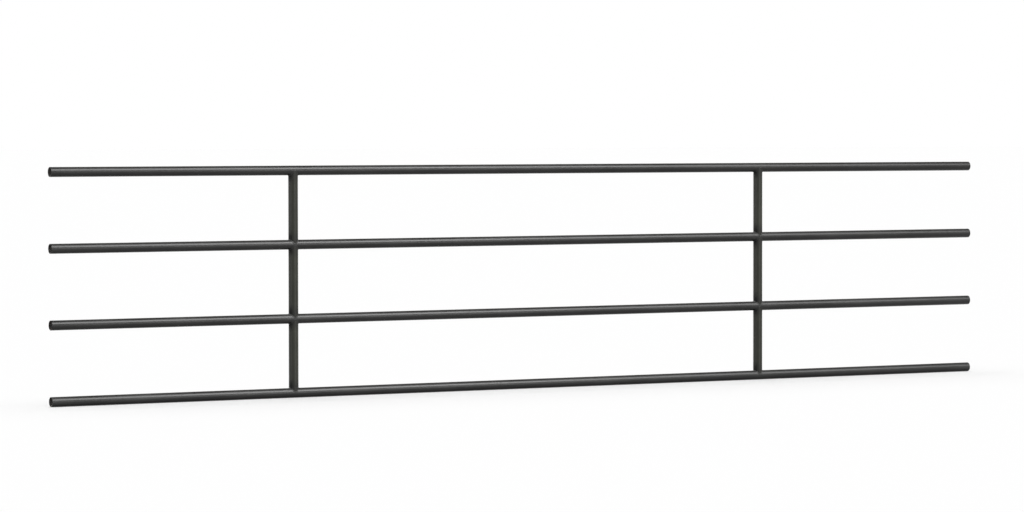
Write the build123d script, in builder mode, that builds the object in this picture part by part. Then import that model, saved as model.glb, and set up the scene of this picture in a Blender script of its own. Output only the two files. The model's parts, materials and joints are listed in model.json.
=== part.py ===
from build123d import *
from math import degrees, sqrt
import os

# Continuous fence panel: round rails joined by vertical stays, which are coped over the rails and welded.
# X runs along the rails, Y through the panel and Z up. The origin is under the middle of the bottom rail.
# Sizes are in millimetres.

# Tube that rails and stays are cut from
tube_od = 50.8
tube_wall = 2.1

# Layout along the rails
left_overhang = 1370.6
stay_spacing = 2904.5
right_overhang = 1454.9

# Clear gaps between the rails
bottom_gap = 338.6
middle_gap = 338.6
top_gap = 338.6

# Saw-cut rail ends, deburred inside and out
rim_chamfer = 0.4

# Root gap that is left between a coped stay end and its rail
cope_gap = 0.3

# Weld bead: its leg in the corners beside a stay, and how proud it stands where the tubes are flush
weld_leg = 3.2
weld_crown = 1.0
weld_sides = 8

# Sizes that follow from those above
tube_radius = tube_od / 2
bore_radius = tube_radius - tube_wall
panel_length = left_overhang + stay_spacing + right_overhang
left_end = -panel_length / 2

stays = {
    "left_stay": left_end + left_overhang,
    "right_stay": left_end + left_overhang + stay_spacing,
}
bottom_height = tube_radius
lower_height = bottom_height + tube_od + bottom_gap
upper_height = lower_height + tube_od + middle_gap
top_height = upper_height + tube_od + top_gap
rails = {
    "bottom_rail": bottom_height,
    "lower_middle_rail": lower_height,
    "upper_middle_rail": upper_height,
    "top_rail": top_height,
}
stay_pieces = {
    "lower": ("bottom_rail", "lower_middle_rail"),
    "middle": ("lower_middle_rail", "upper_middle_rail"),
    "upper": ("upper_middle_rail", "top_rail"),
}
end_rails = ("bottom_rail", "top_rail")

# The outsides of two equal tubes that cross at a right angle meet along ellipses in planes at 45 degrees.
# A bead follows half of such an ellipse on each side of the stay, sunk where the tubes are flush.
crossing_reach = sqrt(2) * tube_radius
crossing_width = tube_radius - weld_leg + weld_crown
# Each half runs on past its tip far enough to be mitred there
mitre_angle = degrees(2 * weld_leg / crossing_reach)

os.makedirs("parts", exist_ok=True)


def save(builder, name):
    """Label a finished piece and write it under the name of its node."""
    builder.part.label = name
    export_step(builder.part, f"parts/{name}.step")


def make_rail(name, height):
    """A straight tube along X with open, deburred ends."""
    with BuildPart() as rail:
        with BuildSketch(Plane(origin=(left_end, 0, height), z_dir=(1, 0, 0))):
            Circle(tube_radius)
            Circle(bore_radius, mode=Mode.SUBTRACT)
        extrude(amount=panel_length)
        chamfer(rail.edges().filter_by(GeomType.CIRCLE), length=rim_chamfer)
    save(rail, name)


def make_stay(name, place, low_height, high_height):
    """A short tube between two rails, with both ends coped to sit over them."""
    with BuildPart() as stay:
        with BuildSketch(Plane(origin=(place, 0, low_height))):
            Circle(tube_radius)
            Circle(bore_radius, mode=Mode.SUBTRACT)
        extrude(amount=high_height - low_height)
        for height in (low_height, high_height):
            with BuildSketch(Plane(origin=(place, 0, height), z_dir=(1, 0, 0))):
                Circle(tube_radius + cope_gap)
            extrude(amount=tube_od, both=True, mode=Mode.SUBTRACT)
    save(stay, name)


# One bead as it lies round a stay that stands on a rail, with the crossing of the two axes at the origin
across = Plane(origin=(0, 0, 0), z_dir=(1, 0, 0))
slant = Plane(origin=(0, 0, 0), x_dir=(1, 0, 1), z_dir=(-1, 0, 1))
with BuildPart() as bead:
    with BuildLine(slant) as crossing:
        EllipticalCenterArc(
            (0, 0),
            crossing_reach,
            crossing_width,
            start_angle=-90 - mitre_angle,
            arc_size=180 + 2 * mitre_angle,
        )
    start = Plane(origin=crossing.line @ 0, x_dir=slant.z_dir, z_dir=crossing.line % 0)
    with BuildSketch(start):
        RegularPolygon(weld_leg, weld_sides)
    sweep(path=crossing.line)
    split(bisect_by=across, keep=Keep.TOP)
    mirror(about=across)
    for tube_plane in (across, Plane.XY):
        with BuildSketch(tube_plane):
            Circle(tube_radius)
        extrude(amount=tube_od, both=True, mode=Mode.SUBTRACT)

# Where stays meet a rail from both sides, each bead ends at the rail's axis, face to face with the other
with BuildPart() as shared_bead:
    add(bead.part)
    split(bisect_by=Plane.XY, keep=Keep.TOP)


def make_weld(name, place, height, up, shared):
    """The bead round one coped end. up is 1 for a stay that stands on its rail and -1 for one that hangs."""
    with BuildPart() as weld:
        with Locations(Plane(origin=(place, 0, height), x_dir=(1, 0, 0), z_dir=(0, 0, up))):
            add(shared_bead.part if shared else bead.part)
    save(weld, name)


for rail_name, rail_height in rails.items():
    make_rail(rail_name, rail_height)

for stay_name, stay_place in stays.items():
    for piece, (low_rail, high_rail) in stay_pieces.items():
        piece_name = f"{stay_name}_{piece}"
        make_stay(piece_name, stay_place, rails[low_rail], rails[high_rail])
        for end, end_rail, up in (("bottom", low_rail, 1), ("top", high_rail, -1)):
            shared = end_rail not in end_rails
            make_weld(f"{piece_name}_{end}_weld", stay_place, rails[end_rail], up, shared)
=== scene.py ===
import json
from bisect import bisect_right
from math import atan2, cos, hypot, pi, radians, sin, sqrt

import bpy
from mathutils import Matrix, Vector


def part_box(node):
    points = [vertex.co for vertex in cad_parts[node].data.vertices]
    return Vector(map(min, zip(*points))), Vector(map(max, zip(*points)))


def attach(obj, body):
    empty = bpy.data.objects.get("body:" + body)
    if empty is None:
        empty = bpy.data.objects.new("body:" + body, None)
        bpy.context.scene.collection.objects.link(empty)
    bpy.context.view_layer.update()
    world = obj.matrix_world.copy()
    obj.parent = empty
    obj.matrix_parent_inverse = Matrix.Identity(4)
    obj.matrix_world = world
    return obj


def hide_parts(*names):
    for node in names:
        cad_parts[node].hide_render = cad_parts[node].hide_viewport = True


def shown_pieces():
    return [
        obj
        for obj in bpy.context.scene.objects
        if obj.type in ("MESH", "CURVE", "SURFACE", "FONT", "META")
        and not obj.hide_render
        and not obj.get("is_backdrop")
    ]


bl_info = {
    "name": "Continuous fence panel",
    "version": (1, 0, 0),
    "blender": (4, 5, 0),
    "location": "View3D > Sidebar > Fence Panel",
    "description": "Dresses a welded livestock fence panel: painted tubes, weld beads and a studio",
    "category": "Object",
}

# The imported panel, and its box before it is dressed. Lengths are in metres.
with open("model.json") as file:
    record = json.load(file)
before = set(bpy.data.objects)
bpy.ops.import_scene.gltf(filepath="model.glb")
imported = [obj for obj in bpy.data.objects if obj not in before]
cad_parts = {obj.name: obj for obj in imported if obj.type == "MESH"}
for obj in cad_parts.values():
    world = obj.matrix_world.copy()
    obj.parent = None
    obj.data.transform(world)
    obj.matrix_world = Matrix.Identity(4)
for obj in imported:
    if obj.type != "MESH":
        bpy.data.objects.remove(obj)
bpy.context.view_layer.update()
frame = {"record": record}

# Names of the panel's pieces, from the ground up
RAILS = ("bottom_rail", "lower_middle_rail", "upper_middle_rail", "top_rail")
STAYS = ("left_stay", "right_stay")
STAY_PIECES = {"lower": RAILS[0:2], "middle": RAILS[1:3], "upper": RAILS[2:4]}

# Tube sizes and rail heights come from the mounts, which give them exactly
MOUNTS = {mount["name"]: mount for mount in frame["record"]["mounts"]}
TUBE_RADIUS = MOUNTS["top_rail_clip_seat"]["dims"]["r_mm"] / 1000
BORE_RADIUS = MOUNTS["top_rail_left_end"]["dims"]["r_mm"] / 1000
RAIL_HEIGHTS = {rail: MOUNTS[f"{rail}_clip_seat"]["pos_m"][2] for rail in RAILS}

# Names that the record and the add-on share
CREST = "crest"

# Order of the finishes on a rail
PAINT, SAW_CUT, MILL_SCALE = range(3)

# Edges that turn less than this are shaded smooth
SMOOTH_ANGLE = radians(40)

# How slowly the fine detail of a noise fades, and the value that a noise swings about
NOISE_ROUGHNESS = 0.55
NOISE_MIDDLE = 0.5

# How much rougher uneven tone, dust, the darkening near the rails and the painted shade on the stays' left
# sides make the paint where they are strongest
TONE_ROUGHNESS = 0.25
DUST_ROUGHNESS = 0.35
NEAR_RAIL_ROUGHNESS = 0.15
PAINTED_SHADE_ROUGHNESS = 0.3

# The most rings that the torus operator can make, and the steps in which a bead's run is measured
MOST_RINGS = 256
ROOT_STEPS = 720

# Width of the camera's sensor, in millimetres
SENSOR_WIDTH = 36

# How far off a sun lamp's object stands. Its light doesn't depend on that.
LAMP_DISTANCE = 10


class FenceTubes(bpy.types.PropertyGroup):
    """Sizes of the tube that the rails and stays are cut from"""

    radius: bpy.props.FloatProperty(
        name="Outside radius",
        description="Outside radius of the tube",
        default=TUBE_RADIUS,
        unit="LENGTH",
        precision=5,
    )
    bore: bpy.props.FloatProperty(
        name="Bore radius",
        description="Inside radius of the tube",
        default=BORE_RADIUS,
        unit="LENGTH",
        precision=5,
    )
    sides: bpy.props.IntProperty(
        name="Sides",
        description="Number of flats round a tube",
        default=96,
        min=24,
    )
    rim_round: bpy.props.FloatProperty(
        name="Deburred rim",
        description="Radius of the deburred edges at a saw-cut rail end",
        default=0.0004,
        unit="LENGTH",
        precision=5,
    )
    seam_slope: bpy.props.FloatProperty(
        name="Seam slope",
        description="Width of each sloping side of the seam weld inside the bore",
        default=0.0007,
        unit="LENGTH",
        precision=5,
    )
    seam_height: bpy.props.FloatProperty(
        name="Seam height",
        description="How far the seam weld stands into the bore",
        default=0.0006,
        unit="LENGTH",
        precision=5,
    )
    cope_gap: bpy.props.FloatProperty(
        name="Cope gap",
        description="Root gap between a coped stay end and its rail",
        default=0.0003,
        unit="LENGTH",
        precision=5,
    )


class FenceWelds(bpy.types.PropertyGroup):
    """Sizes of the bead round each coped end"""

    half_width: bpy.props.FloatProperty(
        name="Half width",
        description="Half the width of the bead across its run",
        default=0.0036,
        unit="LENGTH",
        precision=5,
    )
    depth: bpy.props.FloatProperty(
        name="Depth",
        description="Half the thickness of the bead, from its root to its crown",
        default=0.0018,
        unit="LENGTH",
        precision=5,
    )
    crown: bpy.props.FloatProperty(
        name="Crown",
        description="How proud the bead stands where the two tubes are flush",
        default=0.00086,
        unit="LENGTH",
        precision=5,
    )
    throat: bpy.props.FloatProperty(
        name="Throat",
        description="Thickness of the fillet in the corner beside the stay",
        default=0.0027,
        unit="LENGTH",
        precision=5,
    )
    tip_round: bpy.props.FloatProperty(
        name="Tip radius",
        description="How far the run is rounded off where its two legs meet on the face of the rail",
        default=0.0024,
        unit="LENGTH",
        precision=5,
    )
    ripple_pitch: bpy.props.FloatProperty(
        name="Ripple pitch",
        description="Distance from one ripple of the bead to the next",
        default=0.0026,
        unit="LENGTH",
        precision=5,
    )
    ripple_height: bpy.props.FloatProperty(
        name="Ripple height",
        description="Height of a ripple over the valleys beside it",
        default=0.00014,
        unit="LENGTH",
        precision=5,
    )
    rings_per_ripple: bpy.props.IntProperty(
        name="Rings per ripple",
        description="Rings of the bead's mesh in each ripple",
        default=6,
        min=3,
    )
    ring_points: bpy.props.IntProperty(
        name="Points per ring",
        description="Points round the bead's section",
        default=18,
        min=8,
    )


class FencePaint(bpy.types.PropertyGroup):
    """The satin paint on the panel, and the bare steel inside the rails"""

    colour: bpy.props.FloatVectorProperty(
        name="Paint",
        description="Charcoal of the satin paint",
        default=(0.025, 0.025, 0.0244),
        subtype="COLOR",
        min=0,
        max=1,
    )
    stay_colour: bpy.props.FloatVectorProperty(
        name="Stay paint",
        description="Charcoal of the stays, a little warmer than that of the rails",
        default=(0.0262, 0.0272, 0.0205),
        subtype="COLOR",
        min=0,
        max=1,
    )
    weld_colour: bpy.props.FloatVectorProperty(
        name="Weld paint",
        description="Charcoal of the paint on the weld beads",
        default=(0.024, 0.024, 0.023),
        subtype="COLOR",
        min=0,
        max=1,
    )
    worn_colour: bpy.props.FloatVectorProperty(
        name="Worn paint",
        description="Thin paint on the crests of the beads' ripples",
        default=(0.05, 0.05, 0.049),
        subtype="COLOR",
        min=0,
        max=1,
    )
    # The stay ends are drawn darker near the rails. This colour and the sizes below set that darkening
    near_rail_colour: bpy.props.FloatVectorProperty(
        name="Paint near the rails",
        description="Paint of a stay where it is drawn darker near a rail",
        default=(0.0135, 0.0135, 0.0115),
        subtype="COLOR",
        min=0,
        max=1,
    )
    near_rail_reach: bpy.props.FloatProperty(
        name="Darkening reach",
        description="How far from a rail the paint of a stay is darkened",
        default=0.056,
        unit="LENGTH",
        precision=4,
    )
    near_rail_rise: bpy.props.FloatProperty(
        name="Darkening rise",
        description="How far the darkening is shifted upwards",
        default=0.006,
        unit="LENGTH",
        precision=4,
    )
    near_rail_ragged: bpy.props.FloatProperty(
        name="Darkening raggedness",
        description="How far the edge of the darkening wanders up and down",
        default=0.03,
        unit="LENGTH",
        precision=4,
    )
    # Painted shade: a darker, duller colour on the left of each stay end near a rail, where the rail shuts
    # out light
    painted_shade_colour: bpy.props.FloatVectorProperty(
        name="Painted shade",
        description="Painted shade, darker and duller, on the left of each stay end near a rail",
        default=(0.003, 0.003, 0.00264),
        subtype="COLOR",
        min=0,
        max=1,
    )
    dust_colour: bpy.props.FloatVectorProperty(
        name="Dust",
        description="Dry yard dust that settles on the upper sides",
        default=(0.16, 0.145, 0.12),
        subtype="COLOR",
        min=0,
        max=1,
    )
    scale_colour: bpy.props.FloatVectorProperty(
        name="Mill scale",
        description="Unpainted mill scale inside the rails",
        default=(0.18, 0.176, 0.172),
        subtype="COLOR",
        min=0,
        max=1,
    )
    rust_colour: bpy.props.FloatVectorProperty(
        name="Rust",
        description="Light rust that blooms through the mill scale",
        default=(0.2, 0.11, 0.06),
        subtype="COLOR",
        min=0,
        max=1,
    )
    roughness: bpy.props.FloatProperty(
        name="Paint roughness",
        description="Roughness of clean satin paint",
        default=0.32,
        min=0,
        max=1,
        subtype="FACTOR",
    )
    gloss: bpy.props.FloatProperty(
        name="Paint gloss",
        description="Specular level of the paint",
        default=0.31,
        min=0,
        max=1,
        subtype="FACTOR",
    )
    peel_size: bpy.props.FloatProperty(
        name="Orange peel size",
        description="Distance between the bumps of the sprayed film",
        default=0.0022,
        unit="LENGTH",
        precision=5,
    )
    peel_height: bpy.props.FloatProperty(
        name="Orange peel height",
        description="Height of the bumps of the sprayed film",
        default=0.00004,
        unit="LENGTH",
        precision=6,
    )


class FenceStudio(bpy.types.PropertyGroup):
    """Floor, light and camera"""

    camera_place: bpy.props.FloatVectorProperty(
        name="Camera place",
        description="Where the camera stands",
        default=(-10.1961, -17.8009, 1.3836),
        subtype="TRANSLATION",
    )
    camera_heading: bpy.props.FloatProperty(
        name="Camera heading",
        description="Turn of the view to the right of straight ahead",
        default=radians(29.373),
        subtype="ANGLE",
    )
    camera_pitch: bpy.props.FloatProperty(
        name="Camera pitch",
        description="Tilt of the view above the horizon",
        default=radians(-1.8548),
        subtype="ANGLE",
    )
    camera_roll: bpy.props.FloatProperty(
        name="Camera roll",
        description="Turn of the picture about the line of sight",
        default=radians(-0.0773),
        subtype="ANGLE",
    )
    lens: bpy.props.FloatProperty(
        name="Lens",
        description="Focal length on a 36 mm sensor, in millimetres",
        default=132.539,
    )
    floor_size: bpy.props.FloatProperty(
        name="Floor size",
        description="Length of each side of the floor",
        default=600,
        unit="LENGTH",
    )
    floor_colour: bpy.props.FloatVectorProperty(
        name="Floor",
        description="Colour of the pale floor",
        default=(0.9, 0.9, 0.9),
        subtype="COLOR",
        min=0,
        max=1,
    )
    floor_glow: bpy.props.FloatProperty(
        name="Floor glow",
        description="Share of the floor's white, as it is seen, that the panel casts no shadow on",
        default=0.3,
        min=0,
        max=1,
        subtype="FACTOR",
    )
    floor_in_gloss: bpy.props.FloatProperty(
        name="Floor in reflections",
        description="Share of the floor's white that reflections show",
        default=0.8,
        min=0,
        max=1,
        subtype="FACTOR",
    )
    floor_fade: bpy.props.FloatProperty(
        name="Floor fade",
        description="How much less of the floor's white reflections show at the right",
        default=0.22,
        min=0,
        max=1,
        subtype="FACTOR",
    )
    fade_start: bpy.props.FloatProperty(
        name="Fade start",
        description="Where along the panel the floor starts to fade in reflections",
        default=-1.5,
        unit="LENGTH",
    )
    fade_end: bpy.props.FloatProperty(
        name="Fade end",
        description="Where along the panel the floor has faded in reflections",
        default=3.5,
        unit="LENGTH",
    )
    floor_bounce: bpy.props.FloatVectorProperty(
        name="Floor bounce",
        description="Colour of the floor in the soft light that it throws back",
        default=(0.03, 0.03, 0.03),
        subtype="COLOR",
        min=0,
        max=1,
    )
    ambient: bpy.props.FloatProperty(
        name="Ambient",
        description="Strength of the soft light from all round, and of the ceiling in reflections",
        default=0.06,
        min=0,
    )
    backdrop_height: bpy.props.FloatProperty(
        name="Backdrop height",
        description="Height over the horizon up to which reflections show the white backdrop",
        default=radians(6),
        subtype="ANGLE",
    )
    ceiling_height: bpy.props.FloatProperty(
        name="Ceiling height",
        description="Height over the horizon above which reflections show the dim ceiling",
        default=radians(24),
        subtype="ANGLE",
    )
    key_strength: bpy.props.FloatProperty(
        name="Key strength",
        description="Strength of the soft light from above and to the right of the panel's face",
        default=3.1,
        min=0,
    )
    wing_strength: bpy.props.FloatProperty(
        name="Wing strength",
        description="Strength of the soft light beside the key, further to the right",
        default=1.55,
        min=0,
    )
    fill_strength: bpy.props.FloatProperty(
        name="Fill strength",
        description="Strength of the low soft light in front",
        default=0.6,
        min=0,
    )
    side_strength: bpy.props.FloatProperty(
        name="Side strength",
        description="Strength of the soft light from the left",
        default=1.0,
        min=0,
    )
    back_strength: bpy.props.FloatProperty(
        name="Back strength",
        description="Strength of the soft light behind the panel",
        default=2.6,
        min=0,
    )
    overhead_strength: bpy.props.FloatProperty(
        name="Overhead strength",
        description="Strength of the wide light over the floor",
        default=3.3,
        min=0,
    )


# Helpers for modelling with operators


def start_piece():
    """Deselect everything, so that an operator acts on the next piece alone."""
    bpy.ops.object.select_all(action="DESELECT")


def pick(piece):
    """Select one piece alone, for the operators that act on it."""
    start_piece()
    piece.select_set(True)
    bpy.context.view_layer.objects.active = piece


def apply_place(piece):
    """Put a piece's place and turn into its mesh, and leave its object at the origin."""
    pick(piece)
    bpy.ops.object.transform_apply(location=True, rotation=True, scale=True)


def select_parts(piece, kind, wanted):
    """Enter edit mode with those edges or faces of a piece selected that are wanted."""
    bpy.ops.object.mode_set(mode="EDIT")
    bpy.ops.mesh.select_mode(type=kind)
    bpy.ops.mesh.select_all(action="DESELECT")
    bpy.ops.object.mode_set(mode="OBJECT")
    parts = piece.data.edges if kind == "EDGE" else piece.data.polygons
    for part in parts:
        part.select = wanted(part)
    bpy.ops.object.mode_set(mode="EDIT")


def add_open_tube(name, radius, sides, length, place, along_x):
    """A thin open tube of that length, with its middle at place, along X or upright."""
    start_piece()
    bpy.ops.mesh.primitive_cylinder_add(
        vertices=sides,
        radius=radius,
        depth=length,
        end_fill_type="NOTHING",
        location=place,
        rotation=(0, pi / 2 if along_x else 0, 0),
    )
    tube = bpy.context.object
    tube.name = tube.data.name = name
    apply_place(tube)
    return tube


def add_wall(tube, thickness):
    """Give a thin tube its wall, inwards from its outside."""
    wall = tube.modifiers.new("Wall", "SOLIDIFY")
    wall.thickness = thickness
    wall.offset = -1
    wall.use_even_offset = True
    bpy.ops.object.modifier_apply(modifier=wall.name)


def copy_piece(piece, name):
    """A copy of a piece, with a mesh of its own."""
    pick(piece)
    bpy.ops.object.duplicate(linked=False)
    twin = bpy.context.object
    twin.name = twin.data.name = name
    return twin


def seat(piece, node):
    """Hide the node that a piece stands for, and hang the piece on the root body. The panel has no joints,
    so every piece rides on its one body.
    """
    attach(piece, "root")
    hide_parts(node)


# Shader effects that several finishes share


def new_group(name, inputs, outputs):
    """A shader node group with named sockets. Returns its tree and its input and output nodes."""
    tree = bpy.data.node_groups.new(name, "ShaderNodeTree")
    for label, kind, default in inputs:
        socket = tree.interface.new_socket(label, in_out="INPUT", socket_type=kind)
        socket.default_value = default
    for label, kind in outputs:
        tree.interface.new_socket(label, in_out="OUTPUT", socket_type=kind)
    return tree, tree.nodes.new("NodeGroupInput"), tree.nodes.new("NodeGroupOutput")


def add_node(tree, kind, **values):
    """A node with its properties set, and its inputs by name or number."""
    node = tree.nodes.new(kind)
    for key, value in values.pop("inputs", {}).items():
        node.inputs[key].default_value = value
    for key, value in values.items():
        setattr(node, key, value)
    return node


def feed(tree, socket, value):
    """Link a socket to another one, or set it to a number or colour."""
    if isinstance(value, bpy.types.NodeSocket):
        tree.links.new(value, socket)
    else:
        socket.default_value = value


def add_math(tree, operation, *values):
    """A Math node. Its values are sockets or numbers. Returns its output socket."""
    node = add_node(tree, "ShaderNodeMath", operation=operation)
    for socket, value in zip(node.inputs, values):
        feed(tree, socket, value)
    return node.outputs[0]


def ramp(tree, value, low, high):
    """A smooth mask that is 0 where value is below low and 1 where it is above high."""
    ends = {"From Min": low, "From Max": high}
    node = add_node(tree, "ShaderNodeMapRange", interpolation_type="SMOOTHSTEP", inputs=ends)
    tree.links.new(value, node.inputs["Value"])
    return node.outputs["Result"]


def split_axes(tree, coordinates):
    """The X, Y and Z sockets of a kind of texture coordinates, such as Object or Normal."""
    place = add_node(tree, "ShaderNodeTexCoord")
    axes = add_node(tree, "ShaderNodeSeparateXYZ")
    tree.links.new(place.outputs[coordinates], axes.inputs["Vector"])
    return axes.outputs


def noise(tree, scale, detail, stretch=(1, 1, 1)):
    """Noise on Object coordinates, with scale in cells per metre. Returns its value socket."""
    place = add_node(tree, "ShaderNodeTexCoord")
    mapping = add_node(tree, "ShaderNodeMapping", inputs={"Scale": stretch})
    texture = add_node(tree, "ShaderNodeTexNoise", inputs={"Detail": detail, "Roughness": NOISE_ROUGHNESS})
    feed(tree, texture.inputs["Scale"], scale)
    tree.links.new(place.outputs["Object"], mapping.inputs["Vector"])
    tree.links.new(mapping.outputs["Vector"], texture.inputs["Vector"])
    return texture.outputs["Fac"]


def mix_colour(tree, factor, first, second):
    """A colour Mix node. Colours are sockets or values. Returns its output socket."""
    node = add_node(tree, "ShaderNodeMix", data_type="RGBA")
    # These places hold the factor and the two colours of a colour mix
    for place, value in ((0, factor), (6, first), (7, second)):
        feed(tree, node.inputs[place], value)
    return node.outputs[2]


def paint_tone_group():
    """Uneven tone of a sprayed coat: broad mottling, faint streaks along the rails and fine grain."""
    tree, inputs, outputs = new_group(
        "Paint tone",
        [("Colour", "NodeSocketColor", (0.05, 0.05, 0.05, 1)), ("Amount", "NodeSocketFloat", 1.0)],
        [("Colour", "NodeSocketColor"), ("Tone", "NodeSocketFloat")],
    )
    broad = noise(tree, scale=4, detail=3)
    streaks = noise(tree, scale=60, detail=4, stretch=(0.06, 1, 0.35))
    grain = noise(tree, scale=700, detail=2)
    tone = 0
    for layer, share in ((broad, 0.62), (streaks, 0.28), (grain, 0.1)):
        tone = add_math(tree, "MULTIPLY_ADD", layer, share, tone)
    off_middle = add_math(tree, "SUBTRACT", tone, NOISE_MIDDLE)
    lift = add_math(tree, "MULTIPLY_ADD", off_middle, inputs.outputs["Amount"], 1)
    scaled = add_node(tree, "ShaderNodeVectorMath", operation="SCALE")
    tree.links.new(inputs.outputs["Colour"], scaled.inputs[0])
    tree.links.new(lift, scaled.inputs["Scale"])
    tree.links.new(scaled.outputs["Vector"], outputs.inputs["Colour"])
    tree.links.new(tone, outputs.inputs["Tone"])
    return tree


def orange_peel_group():
    """Height of the bumps that sprayed paint dries with."""
    tree, inputs, outputs = new_group(
        "Orange peel",
        [("Size", "NodeSocketFloat", 0.002)],
        [("Height", "NodeSocketFloat")],
    )
    cells = add_math(tree, "DIVIDE", 1, inputs.outputs["Size"])
    tree.links.new(noise(tree, scale=cells, detail=2), outputs.inputs["Height"])
    return tree


def yard_dust_group():
    """Mask of dry dust: patchy, and thickest on surfaces that face up."""
    tree, inputs, outputs = new_group(
        "Yard dust",
        [("Amount", "NodeSocketFloat", 0.2)],
        [("Mask", "NodeSocketFloat")],
    )
    facing = split_axes(tree, "Normal")
    upward = ramp(tree, facing["Z"], low=0.1, high=1)
    patches = ramp(tree, noise(tree, scale=22, detail=5), low=0.38, high=0.72)
    specks = ramp(tree, noise(tree, scale=900, detail=2), low=0.45, high=0.75)
    mask = add_math(tree, "MULTIPLY", upward, inputs.outputs["Amount"])
    # Between its patches and specks the dust is thinner, and is nowhere gone
    for layer, least in ((patches, 0.3), (specks, 0.4)):
        uneven = add_math(tree, "MULTIPLY_ADD", layer, 1 - least, least)
        mask = add_math(tree, "MULTIPLY", mask, uneven)
    tree.links.new(mask, outputs.inputs["Mask"])
    return tree


def place_group(tree, name, build, **values):
    """A node of a shared group, built when the first finish asks for it."""
    node = tree.nodes.new("ShaderNodeGroup")
    node.node_tree = bpy.data.node_groups.get(name) or build()
    for key, value in values.items():
        node.inputs[key].default_value = value
    return node


# Finishes


def new_finish(name):
    """A material with only a Principled shader. Returns the material, its tree and the shader."""
    material = bpy.data.materials.new(name)
    material.use_nodes = True
    tree = material.node_tree
    return material, tree, tree.nodes["Principled BSDF"]


def painted(
    name,
    paint,
    colour,
    tone,
    dust,
    extra_roughness,
    height=None,
    height_distance=0.0,
    worn=None,
    stay_end_masks=None,
):
    """Satin charcoal paint. height makes a relief under it, worn makes a mask of wear, and the last mask
    function darkens the stay ends near the rails and paints shade on their left sides.
    """
    material, tree, shader = new_finish(name)
    coat = place_group(tree, "Paint tone", paint_tone_group, Colour=(*colour, 1), Amount=tone)
    settled = place_group(tree, "Yard dust", yard_dust_group, Amount=dust)
    peel = place_group(tree, "Orange peel", orange_peel_group, Size=paint.peel_size)
    colour = coat.outputs["Colour"]
    if worn:
        colour = mix_colour(tree, worn(tree), colour, (*paint.worn_colour, 1))
    if stay_end_masks:
        near_rail_mask, painted_shade_mask = stay_end_masks(tree, paint)
        # The stay ends are darker near the rails
        colour = mix_colour(tree, near_rail_mask, colour, (*paint.near_rail_colour, 1))
        # Painted shade on the left side of the stay ends
        colour = mix_colour(tree, painted_shade_mask, colour, (*paint.painted_shade_colour, 1))
    dusty = mix_colour(tree, settled.outputs["Mask"], colour, (*paint.dust_colour, 1))
    tree.links.new(dusty, shader.inputs["Base Color"])
    off_middle = add_math(tree, "SUBTRACT", coat.outputs["Tone"], NOISE_MIDDLE)
    rough = add_math(tree, "MULTIPLY_ADD", off_middle, TONE_ROUGHNESS, paint.roughness + extra_roughness)
    rough = add_math(tree, "MULTIPLY_ADD", settled.outputs["Mask"], DUST_ROUGHNESS, rough)
    if stay_end_masks:
        rough = add_math(tree, "MULTIPLY_ADD", near_rail_mask, NEAR_RAIL_ROUGHNESS, rough)
        # The painted shade is duller too
        rough = add_math(tree, "MULTIPLY_ADD", painted_shade_mask, PAINTED_SHADE_ROUGHNESS, rough)
    tree.links.new(rough, shader.inputs["Roughness"])
    shader.inputs["Specular IOR Level"].default_value = paint.gloss
    film = add_node(tree, "ShaderNodeBump", inputs={"Distance": paint.peel_height})
    tree.links.new(peel.outputs["Height"], film.inputs["Height"])
    if height:
        relief = add_node(tree, "ShaderNodeBump", inputs={"Distance": height_distance})
        tree.links.new(height(tree), relief.inputs["Height"])
        tree.links.new(relief.outputs["Normal"], film.inputs["Normal"])
    tree.links.new(film.outputs["Normal"], shader.inputs["Normal"])
    return material


def saw_marks(tree):
    """Height of the straight marks that a band saw leaves across a cut end."""
    return noise(tree, scale=1500, detail=2, stretch=(0.02, 0.03, 1))


def weld_skin(tree):
    """Height of the slag pits and fine grain under the paint of a bead."""
    return noise(tree, scale=1400, detail=3)


def rubbed_crests(tree):
    """Mask of the ripple crests where the paint is rubbed thin."""
    crest = add_node(tree, "ShaderNodeAttribute", attribute_name=CREST)
    high = ramp(tree, crest.outputs["Fac"], low=0.55, high=1)
    patchy = ramp(tree, noise(tree, scale=260, detail=3), low=0.42, high=0.68)
    return add_math(tree, "MULTIPLY", high, patchy)


def stay_end_darkening_and_painted_shade(tree, paint):
    """Masks of the stay ends near the rails: where they are drawn darker, and the painted shade on their
    left side, where the rail shuts out light.
    """
    # Darker within a reach of each rail's outside, shifted upwards, with a ragged edge
    pitch = RAIL_HEIGHTS[RAILS[1]] - RAIL_HEIGHTS[RAILS[0]]
    height = split_axes(tree, "Object")["Z"]
    over_rail = add_math(tree, "SUBTRACT", height, RAIL_HEIGHTS[RAILS[0]] + paint.near_rail_rise)
    distance = add_math(tree, "PINGPONG", over_rail, pitch / 2)
    off_middle = add_math(tree, "SUBTRACT", noise(tree, scale=45, detail=3), NOISE_MIDDLE)
    ragged = add_math(tree, "MULTIPLY_ADD", off_middle, paint.near_rail_ragged, distance)
    clear = ramp(tree, ragged, low=TUBE_RADIUS, high=TUBE_RADIUS + paint.near_rail_reach)
    near_rail_mask = add_math(tree, "SUBTRACT", 1, clear)
    # Painted shade: the left side of each darkened end, where the rail shuts out light, is darker and
    # duller still
    leftward = add_math(tree, "MULTIPLY", split_axes(tree, "Normal")["X"], -1)
    left_side = ramp(tree, leftward, low=0.3, high=0.85)
    return near_rail_mask, add_math(tree, "MULTIPLY", near_rail_mask, left_side)


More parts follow.
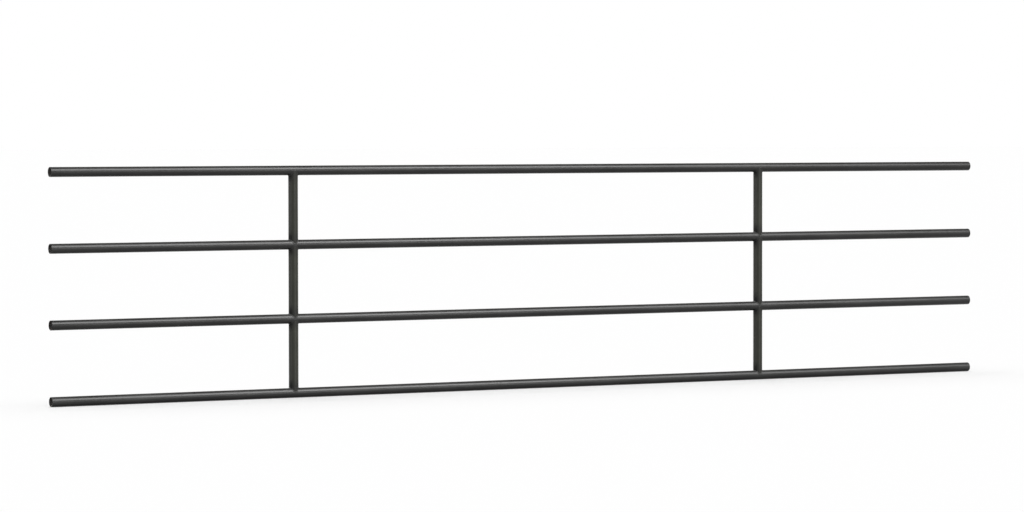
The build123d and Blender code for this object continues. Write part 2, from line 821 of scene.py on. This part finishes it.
def mill_scale(paint):
    """Unpainted bore: dark scale with patches of light rust."""
    scale_tone = 0.6
    scale_gloss = 0.2
    scale_roughness = 0.62
    rust_roughness = 0.2
    flake_height = 0.0001
    material, tree, shader = new_finish("bore_mill_scale")
    colour = (*paint.scale_colour, 1)
    coat = place_group(tree, "Paint tone", paint_tone_group, Colour=colour, Amount=scale_tone)
    rust = ramp(tree, noise(tree, scale=95, detail=6), low=0.55, high=0.7)
    colour = mix_colour(tree, rust, coat.outputs["Colour"], (*paint.rust_colour, 1))
    tree.links.new(colour, shader.inputs["Base Color"])
    rough = add_math(tree, "MULTIPLY_ADD", rust, rust_roughness, scale_roughness)
    tree.links.new(rough, shader.inputs["Roughness"])
    shader.inputs["Specular IOR Level"].default_value = scale_gloss
    flakes = add_node(tree, "ShaderNodeBump", inputs={"Distance": flake_height})
    tree.links.new(noise(tree, scale=420, detail=4), flakes.inputs["Height"])
    tree.links.new(flakes.outputs["Normal"], shader.inputs["Normal"])
    return material


# Operators that model the pieces


class FENCE_PANEL_OT_rails(bpy.types.Operator):
    """Model the rails: long tubes with saw-cut, deburred ends and a seam weld in the bore"""

    bl_idname = "fence_panel.rails"
    bl_label = "Rails"

    # Where the seam weld lies round each bore, as the tube happened to be turned
    seam_turns = dict(zip(RAILS, (radians(35), radians(118), radians(67), radians(10))))

    # A face looks along the rail, or in at its axis, if its normal's share in that direction is over this
    looks_along = 0.5
    looks_in = 0.9

    def execute(self, context):
        tubes = context.scene.fence_tubes
        paint = context.scene.fence_paint
        finishes = (
            painted("satin_rail_paint", paint, paint.colour, tone=2, dust=0.03, extra_roughness=0),
            painted(
                "saw_cut_paint",
                paint,
                paint.colour,
                tone=0.6,
                dust=0.02,
                extra_roughness=0.1,
                height=saw_marks,
                height_distance=0.00012,
            ),
            mill_scale(paint),
        )
        for rail in RAILS:
            piece = self.model(f"{rail}_tube", rail, tubes)
            for finish in finishes:
                piece.data.materials.append(finish)
            self.share_out(piece, rail)
            seat(piece, rail)
        return {"FINISHED"}

    def model(self, name, rail, tubes):
        """One rail, as long as its solid."""
        low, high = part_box(rail)
        length = high.x - low.x
        middle = ((low.x + high.x) / 2, 0, RAIL_HEIGHTS[rail])
        piece = add_open_tube(name, tubes.radius, tubes.sides, length, middle, along_x=True)
        add_wall(piece, tubes.radius - tubes.bore)
        self.round_rims(piece, rail, tubes)
        self.raise_seam(piece, rail, tubes)
        bpy.ops.object.shade_smooth_by_angle(angle=SMOOTH_ANGLE)
        return piece

    def round_rims(self, piece, rail, tubes):
        """Deburr the outer and inner edges of both cut ends."""
        low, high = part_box(rail)
        height = RAIL_HEIGHTS[rail]
        close = tubes.rim_round / 4
        points = piece.data.vertices

        def on_rim(edge):
            start, end = (points[index].co for index in edge.vertices)
            at_end = min(abs(start.x - low.x), abs(start.x - high.x)) < close
            level = abs(start.x - end.x) < close
            turn = abs(hypot(start.y, start.z - height) - hypot(end.y, end.z - height))
            return at_end and level and turn < close

        select_parts(piece, "EDGE", on_rim)
        bpy.ops.mesh.bevel(offset=tubes.rim_round, segments=3, affect="EDGES")
        bpy.ops.object.mode_set(mode="OBJECT")

    def raise_seam(self, piece, rail, tubes):
        """Raise the low seam weld that runs along the bore."""
        height = RAIL_HEIGHTS[rail]
        turn = self.seam_turns[rail]
        strip = 2 * pi / tubes.sides

        def on_seam(face):
            # Only the faces of the bore look at the axis
            out = Vector((0, face.center.y, face.center.z - height)).normalized()
            if out.dot(face.normal) > -self.looks_in:
                return False
            return abs(atan2(out.z, out.y) - turn) < strip

        select_parts(piece, "FACE", on_seam)
        bpy.ops.mesh.inset(thickness=tubes.seam_slope, depth=tubes.seam_height)
        bpy.ops.object.mode_set(mode="OBJECT")

    def share_out(self, piece, rail):
        """Paint outside, saw marks on the cut rims and mill scale in the bore."""
        height = RAIL_HEIGHTS[rail]
        for face in piece.data.polygons:
            out = Vector((0, face.center.y, face.center.z - height)).normalized()
            if abs(face.normal.x) > self.looks_along:
                face.material_index = SAW_CUT
            elif out.dot(face.normal) < 0:
                face.material_index = MILL_SCALE
            else:
                face.material_index = PAINT


class FENCE_PANEL_OT_stays(bpy.types.Operator):
    """Model one stay piece with both ends coped over the rails, and copy it to its places"""

    bl_idname = "fence_panel.stays"
    bl_label = "Stay pieces"

    def execute(self, context):
        tubes = context.scene.fence_tubes
        paint = context.scene.fence_paint
        # The stay ends are darker near the rails, with painted shade on their left sides
        finish = painted(
            "satin_stay_paint",
            paint,
            paint.stay_colour,
            tone=2,
            dust=0.03,
            extra_roughness=0,
            stay_end_masks=stay_end_darkening_and_painted_shade,
        )
        first = None
        for stay in STAYS:
            for part, (low_rail, high_rail) in STAY_PIECES.items():
                node = f"{stay}_{part}"
                low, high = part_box(node)
                place = Vector(((low.x + high.x) / 2, 0, RAIL_HEIGHTS[low_rail]))
                if first is None:
                    reach = RAIL_HEIGHTS[high_rail] - RAIL_HEIGHTS[low_rail]
                    first = self.model(f"{node}_tube", reach, place, tubes)
                    first.data.materials.append(finish)
                    first_place = place
                    piece = first
                else:
                    piece = copy_piece(first, f"{node}_tube")
                    piece.location = place - first_place
                    apply_place(piece)
                seat(piece, node)
        return {"FINISHED"}

    def model(self, name, reach, place, tubes):
        """One stay piece. place is on the axis of the rail below, and reach goes up to the next one's."""
        middle = place + Vector((0, 0, reach / 2))
        piece = add_open_tube(name, tubes.radius, tubes.sides, reach, middle, along_x=False)
        add_wall(piece, tubes.radius - tubes.bore)
        for height in (0, reach):
            self.cope(piece, place + Vector((0, 0, height)), tubes)
        apply_place(piece)
        bpy.ops.object.shade_smooth_by_angle(angle=SMOOTH_ANGLE)
        return piece

    def cope(self, piece, crossing, tubes):
        """Cut the saddle that sits over a rail whose axis passes through crossing."""
        start_piece()
        bpy.ops.mesh.primitive_cylinder_add(
            vertices=2 * tubes.sides,
            radius=tubes.radius + tubes.cope_gap,
            depth=4 * tubes.radius,
            location=crossing,
            rotation=(0, pi / 2, 0),
        )
        cutter = bpy.context.object
        pick(piece)
        cut = piece.modifiers.new("Cope", "BOOLEAN")
        cut.operation = "DIFFERENCE"
        cut.solver = "EXACT"
        cut.object = cutter
        bpy.ops.object.modifier_apply(modifier=cut.name)
        pick(cutter)
        bpy.ops.object.delete()


class FENCE_PANEL_OT_welds(bpy.types.Operator):
    """Model one rippled weld bead on the saddle where a stay meets a rail, and copy it to its places"""

    bl_idname = "fence_panel.welds"
    bl_label = "Weld beads"

    # Slow waves along the run, in the bead's width and in its ripples: height, number and shift
    width_waves = ((0.05, 11, 0), (0.04, 17, 0.7))
    ripple_waves = ((0.22, 5, 1), (0.14, 13, 2.1))

    # The run starts and stops in the corners beside the stay. The cosine of the turn from which the bead
    # swells there, the share by which it gets wider, and how much higher it gets
    stop_from = 0.96
    stop_width = 0.1
    stop_height = 0.0003

    # How far a ripple trails at the toes of the bead, in ripples
    ripple_trail = 0.55

    def execute(self, context):
        paint = context.scene.fence_paint
        finish = painted(
            "satin_weld_paint",
            paint,
            paint.weld_colour,
            tone=0.6,
            dust=0.04,
            extra_roughness=0.06,
            height=weld_skin,
            height_distance=0.00006,
            worn=rubbed_crests,
        )
        pattern = self.model(context.scene.fence_tubes, context.scene.fence_welds)
        pattern.data.materials.append(finish)
        for stay in STAYS:
            for part, rails in STAY_PIECES.items():
                for end, rail in zip(("bottom", "top"), rails):
                    self.place(pattern, f"{stay}_{part}", end, rail)
        pick(pattern)
        bpy.ops.object.delete()
        return {"FINISHED"}

    def place(self, pattern, stay_piece, end, rail):
        """Copy the bead to one coped end, turned over under a rail and half round on the right stay."""
        low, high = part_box(stay_piece)
        bead = copy_piece(pattern, f"{stay_piece}_{end}_bead")
        bead.location = ((low.x + high.x) / 2, 0, RAIL_HEIGHTS[rail])
        turn_over = pi if end == "top" else 0
        turn_round = pi if stay_piece.startswith("right") else 0
        bead.rotation_euler = (turn_over, 0, turn_round)
        apply_place(bead)
        seat(bead, f"{stay_piece}_{end}_weld")

    def model(self, tubes, welds):
        """A ring of ripples, bent from a torus to the saddle round a stay that stands at the origin."""
        step_turn = 2 * pi / ROOT_STEPS
        root = [self.root(step * step_turn, tubes, welds) for step in range(ROOT_STEPS + 1)]
        run = [0.0]
        for here, there in zip(root, root[1:]):
            run.append(run[-1] + (there - here).length)
        ripples = round(run[-1] / welds.ripple_pitch)
        bead = self.add_ring(ripples * welds.rings_per_ripple, tubes, welds)
        crest = bead.data.attributes.new(CREST, "FLOAT", "POINT")
        for point in bead.data.vertices:
            share = (atan2(point.co.y, point.co.x) / (2 * pi)) % 1
            section = atan2(point.co.z, hypot(point.co.x, point.co.y) - tubes.radius)
            here = bisect_right(run, share * run[-1]) - 1
            step = (share * run[-1] - run[here]) / (run[here + 1] - run[here])
            turn = (here + step) * step_turn
            place, height = self.skin(turn, share, section, ripples, tubes, welds)
            point.co = place
            crest.data[point.index].value = height
        bpy.ops.object.mode_set(mode="EDIT")
        bpy.ops.mesh.select_all(action="SELECT")
        bpy.ops.mesh.normals_make_consistent(inside=False)
        bpy.ops.object.mode_set(mode="OBJECT")
        bpy.ops.object.shade_smooth()
        return bead

    def add_ring(self, rings, tubes, welds):
        """A torus round the stay. Rings that its operator can't make are cut between those that it can."""
        cuts = rings // MOST_RINGS
        least_turn = 1e-7
        start_piece()
        bpy.ops.mesh.primitive_torus_add(
            major_segments=round(rings / (cuts + 1)),
            minor_segments=welds.ring_points,
            major_radius=tubes.radius,
            minor_radius=welds.half_width,
        )
        ring = bpy.context.object
        points = ring.data.vertices

        def along_run(edge):
            # The two ends of such an edge lie in different directions from the stay's axis
            start, end = (points[index].co for index in edge.vertices)
            return abs(start.x * end.y - start.y * end.x) > least_turn

        if cuts:
            select_parts(ring, "EDGE", along_run)
            bpy.ops.mesh.subdivide(number_cuts=cuts)
            bpy.ops.object.mode_set(mode="OBJECT")
        return ring

    def root(self, turn, tubes, welds):
        """Where the outsides of stay and rail meet, with the tips rounded on the faces of the rail."""
        across = tubes.radius * cos(turn)
        return Vector((across, tubes.radius * sin(turn), hypot(across, welds.tip_round)))

    def waver(self, share, waves):
        """The sum of some slow waves at a share of the way round the bead."""
        return sum(height * sin(2 * pi * number * share + shift) for height, number, shift in waves)

    def skin(self, turn, share, section, ripples, tubes, welds):
        """A point of the bead's surface, and how high it is on its ripple."""
        root = self.root(turn, tubes, welds)
        small = 0.001
        run = (self.root(turn + small, tubes, welds) - self.root(turn - small, tubes, welds)).normalized()
        off_stay = Vector((cos(turn), sin(turn), 0))
        off_rail = Vector((0, root.y, root.z)).normalized()
        out = off_stay + off_rail
        out = (out - out.dot(run) * run).normalized()
        side = out.cross(run)

        # The bead wanders a little in width, and each half of the run starts and stops in a corner
        wander = self.waver(share, self.width_waves)
        stop = max(0, abs(cos(turn)) - self.stop_from) / (1 - self.stop_from)
        width = welds.half_width * (1 + wander + self.stop_width * stop)
        corner = cos(turn) ** 2
        proud = welds.crown + (welds.throat - welds.crown) * corner + self.stop_height * stop

        # Each ripple is a crescent that trails at the toes of the bead
        face = max(0, sin(section))
        trail = self.ripple_trail * cos(section) ** 2
        uneven = self.waver(share, self.ripple_waves)
        swell = sin(pi * (share * ripples + uneven - trail)) ** 2
        lift = welds.ripple_height * swell * sqrt(face)
        rise = proud - welds.depth + welds.depth * sin(section) + lift
        return root + side * (width * cos(section)) + out * rise, swell * face


class FENCE_PANEL_OT_stage(bpy.types.Operator):
    """Add the pale floor, the soft light and the camera"""

    bl_idname = "fence_panel.stage"
    bl_label = "Stage"

    def execute(self, context):
        studio = context.scene.fence_studio
        context.scene.view_settings.view_transform = "Standard"
        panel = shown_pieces()
        floor = self.add_floor(studio)
        self.light_world(context.scene, studio)
        # Each lamp's heading, height and spread in degrees, its strength, and what it lights
        for name, heading, height, spread, strength, receivers in (
            ("key", 20, 48, 36, studio.key_strength, panel),
            ("wing", 48, 39, 36, studio.wing_strength, panel),
            ("fill", 20, 4, 26, studio.fill_strength, panel),
            ("side", -82, 16, 48, studio.side_strength, panel),
            ("back", 212, 42, 40, studio.back_strength, panel),
            ("overhead", 160, 83, 74, studio.overhead_strength, [floor]),
        ):
            self.add_lamp(name, radians(heading), radians(height), radians(spread), strength, receivers)
        self.add_camera(context.scene, studio)
        return {"FINISHED"}

    def seen(self, tree, shown):
        """1 to the camera, shown in glossy and see-through surfaces, and 0 for soft bounced light."""
        rays = tree.nodes.new("ShaderNodeLightPath").outputs
        shiny = add_math(tree, "MAXIMUM", rays["Is Glossy Ray"], rays["Is Transmission Ray"])
        mirrored = add_math(tree, "MULTIPLY", shiny, shown)
        return add_math(tree, "MAXIMUM", rays["Is Camera Ray"], mirrored)

    def add_floor(self, studio):
        """The pale floor, with the panel's shadow where the camera sees it."""
        start_piece()
        bpy.ops.mesh.primitive_plane_add(size=studio.floor_size)
        floor = bpy.context.object
        floor.name = floor.data.name = "floor"
        material = bpy.data.materials.new("pale_floor")
        material.use_nodes = True
        tree = material.node_tree
        tree.nodes.clear()
        lit = add_node(tree, "ShaderNodeBsdfDiffuse", inputs={"Color": (*studio.floor_colour, 1)})
        white = add_node(tree, "ShaderNodeEmission", inputs={"Strength": 1})
        shown = add_node(tree, "ShaderNodeMixShader", inputs={0: studio.floor_glow})
        tree.links.new(lit.outputs[0], shown.inputs[1])
        tree.links.new(white.outputs[0], shown.inputs[2])
        bounce = add_node(tree, "ShaderNodeBsdfDiffuse", inputs={"Color": (*studio.floor_bounce, 1)})
        along = split_axes(tree, "Object")["X"]
        faded = ramp(tree, along, low=studio.fade_start, high=studio.fade_end)
        in_gloss = add_math(tree, "MULTIPLY_ADD", faded, -studio.floor_fade, studio.floor_in_gloss)
        choice = tree.nodes.new("ShaderNodeMixShader")
        tree.links.new(self.seen(tree, in_gloss), choice.inputs[0])
        tree.links.new(bounce.outputs[0], choice.inputs[1])
        tree.links.new(shown.outputs[0], choice.inputs[2])
        result = tree.nodes.new("ShaderNodeOutputMaterial")
        tree.links.new(choice.outputs[0], result.inputs["Surface"])
        floor.data.materials.append(material)
        floor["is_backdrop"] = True
        return floor

    def light_world(self, scene, studio):
        """Dim light from all round, a white backdrop, and a dim ceiling over it in reflections."""
        world = bpy.data.worlds.new("studio")
        scene.world = world
        world.use_nodes = True
        tree = world.node_tree
        tree.nodes.clear()
        tint = (1, 1, 1, 1)
        soft = add_node(tree, "ShaderNodeBackground", inputs={"Color": tint, "Strength": studio.ambient})
        white = add_node(tree, "ShaderNodeBackground", inputs={"Color": tint, "Strength": 1})
        height = split_axes(tree, "Generated")["Z"]
        ceiling = ramp(tree, height, low=sin(studio.backdrop_height), high=sin(studio.ceiling_height))
        backdrop = add_math(tree, "SUBTRACT", 1, ceiling)
        choice = tree.nodes.new("ShaderNodeMixShader")
        tree.links.new(self.seen(tree, backdrop), choice.inputs[0])
        tree.links.new(soft.outputs[0], choice.inputs[1])
        tree.links.new(white.outputs[0], choice.inputs[2])
        result = tree.nodes.new("ShaderNodeOutputWorld")
        tree.links.new(choice.outputs[0], result.inputs["Surface"])

    def add_lamp(self, name, heading, height, spread, strength, receivers):
        """A distant soft light. heading is to the right of the panel's face, height over the horizon."""
        towards = Vector((sin(heading) * cos(height), -cos(heading) * cos(height), sin(height)))
        start_piece()
        bpy.ops.object.light_add(
            type="SUN",
            location=towards * LAMP_DISTANCE,
            rotation=towards.to_track_quat("Z", "Y").to_euler(),
        )
        lamp = bpy.context.object
        lamp.name = lamp.data.name = name
        lamp.data.angle = spread
        lamp.data.energy = strength
        lit = bpy.data.collections.new(f"lit_by_{name}")
        for receiver in receivers:
            lit.objects.link(receiver)
        lamp.light_linking.receiver_collection = lit

    def add_camera(self, scene, studio):
        """The camera of the photograph."""
        turn = Matrix.Rotation(-studio.camera_heading, 4, "Z")
        turn = turn @ Matrix.Rotation(pi / 2 + studio.camera_pitch, 4, "X")
        turn = turn @ Matrix.Rotation(studio.camera_roll, 4, "Z")
        start_piece()
        bpy.ops.object.camera_add(location=studio.camera_place, rotation=turn.to_euler())
        camera = bpy.context.object
        camera.name = camera.data.name = "camera"
        camera.data.sensor_width = SENSOR_WIDTH
        camera.data.lens = studio.lens
        camera.data.clip_end = studio.floor_size
        scene.camera = camera


class FENCE_PANEL_PT_sidebar(bpy.types.Panel):
    """The fence panel's sizes, finishes and operators"""

    bl_label = "Fence Panel"
    bl_idname = "FENCE_PANEL_PT_sidebar"
    bl_space_type = "VIEW_3D"
    bl_region_type = "UI"
    bl_category = "Fence Panel"

    def draw(self, context):
        groups = (
            (context.scene.fence_tubes, FENCE_PANEL_OT_rails, FENCE_PANEL_OT_stays),
            (context.scene.fence_welds, FENCE_PANEL_OT_welds),
            (context.scene.fence_paint,),
            (context.scene.fence_studio, FENCE_PANEL_OT_stage),
        )
        for settings, *operators in groups:
            box = self.layout.box()
            for name in settings.__annotations__:
                box.prop(settings, name)
            for operator in operators:
                box.operator(operator.bl_idname)


SETTINGS = {
    "fence_tubes": FenceTubes,
    "fence_welds": FenceWelds,
    "fence_paint": FencePaint,
    "fence_studio": FenceStudio,
}
CLASSES = (
    *SETTINGS.values(),
    FENCE_PANEL_OT_rails,
    FENCE_PANEL_OT_stays,
    FENCE_PANEL_OT_welds,
    FENCE_PANEL_OT_stage,
    FENCE_PANEL_PT_sidebar,
)


def register():
    for cls in CLASSES:
        bpy.utils.register_class(cls)
    for name, group in SETTINGS.items():
        setattr(bpy.types.Scene, name, bpy.props.PointerProperty(type=group))


def unregister():
    for name in SETTINGS:
        delattr(bpy.types.Scene, name)
    for cls in reversed(CLASSES):
        bpy.utils.unregister_class(cls)


def main():
    """Register the add-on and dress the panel."""
    register()
    bpy.ops.fence_panel.rails()
    bpy.ops.fence_panel.stays()
    bpy.ops.fence_panel.welds()
    bpy.ops.fence_panel.stage()


if __name__ == "__main__":
    main()
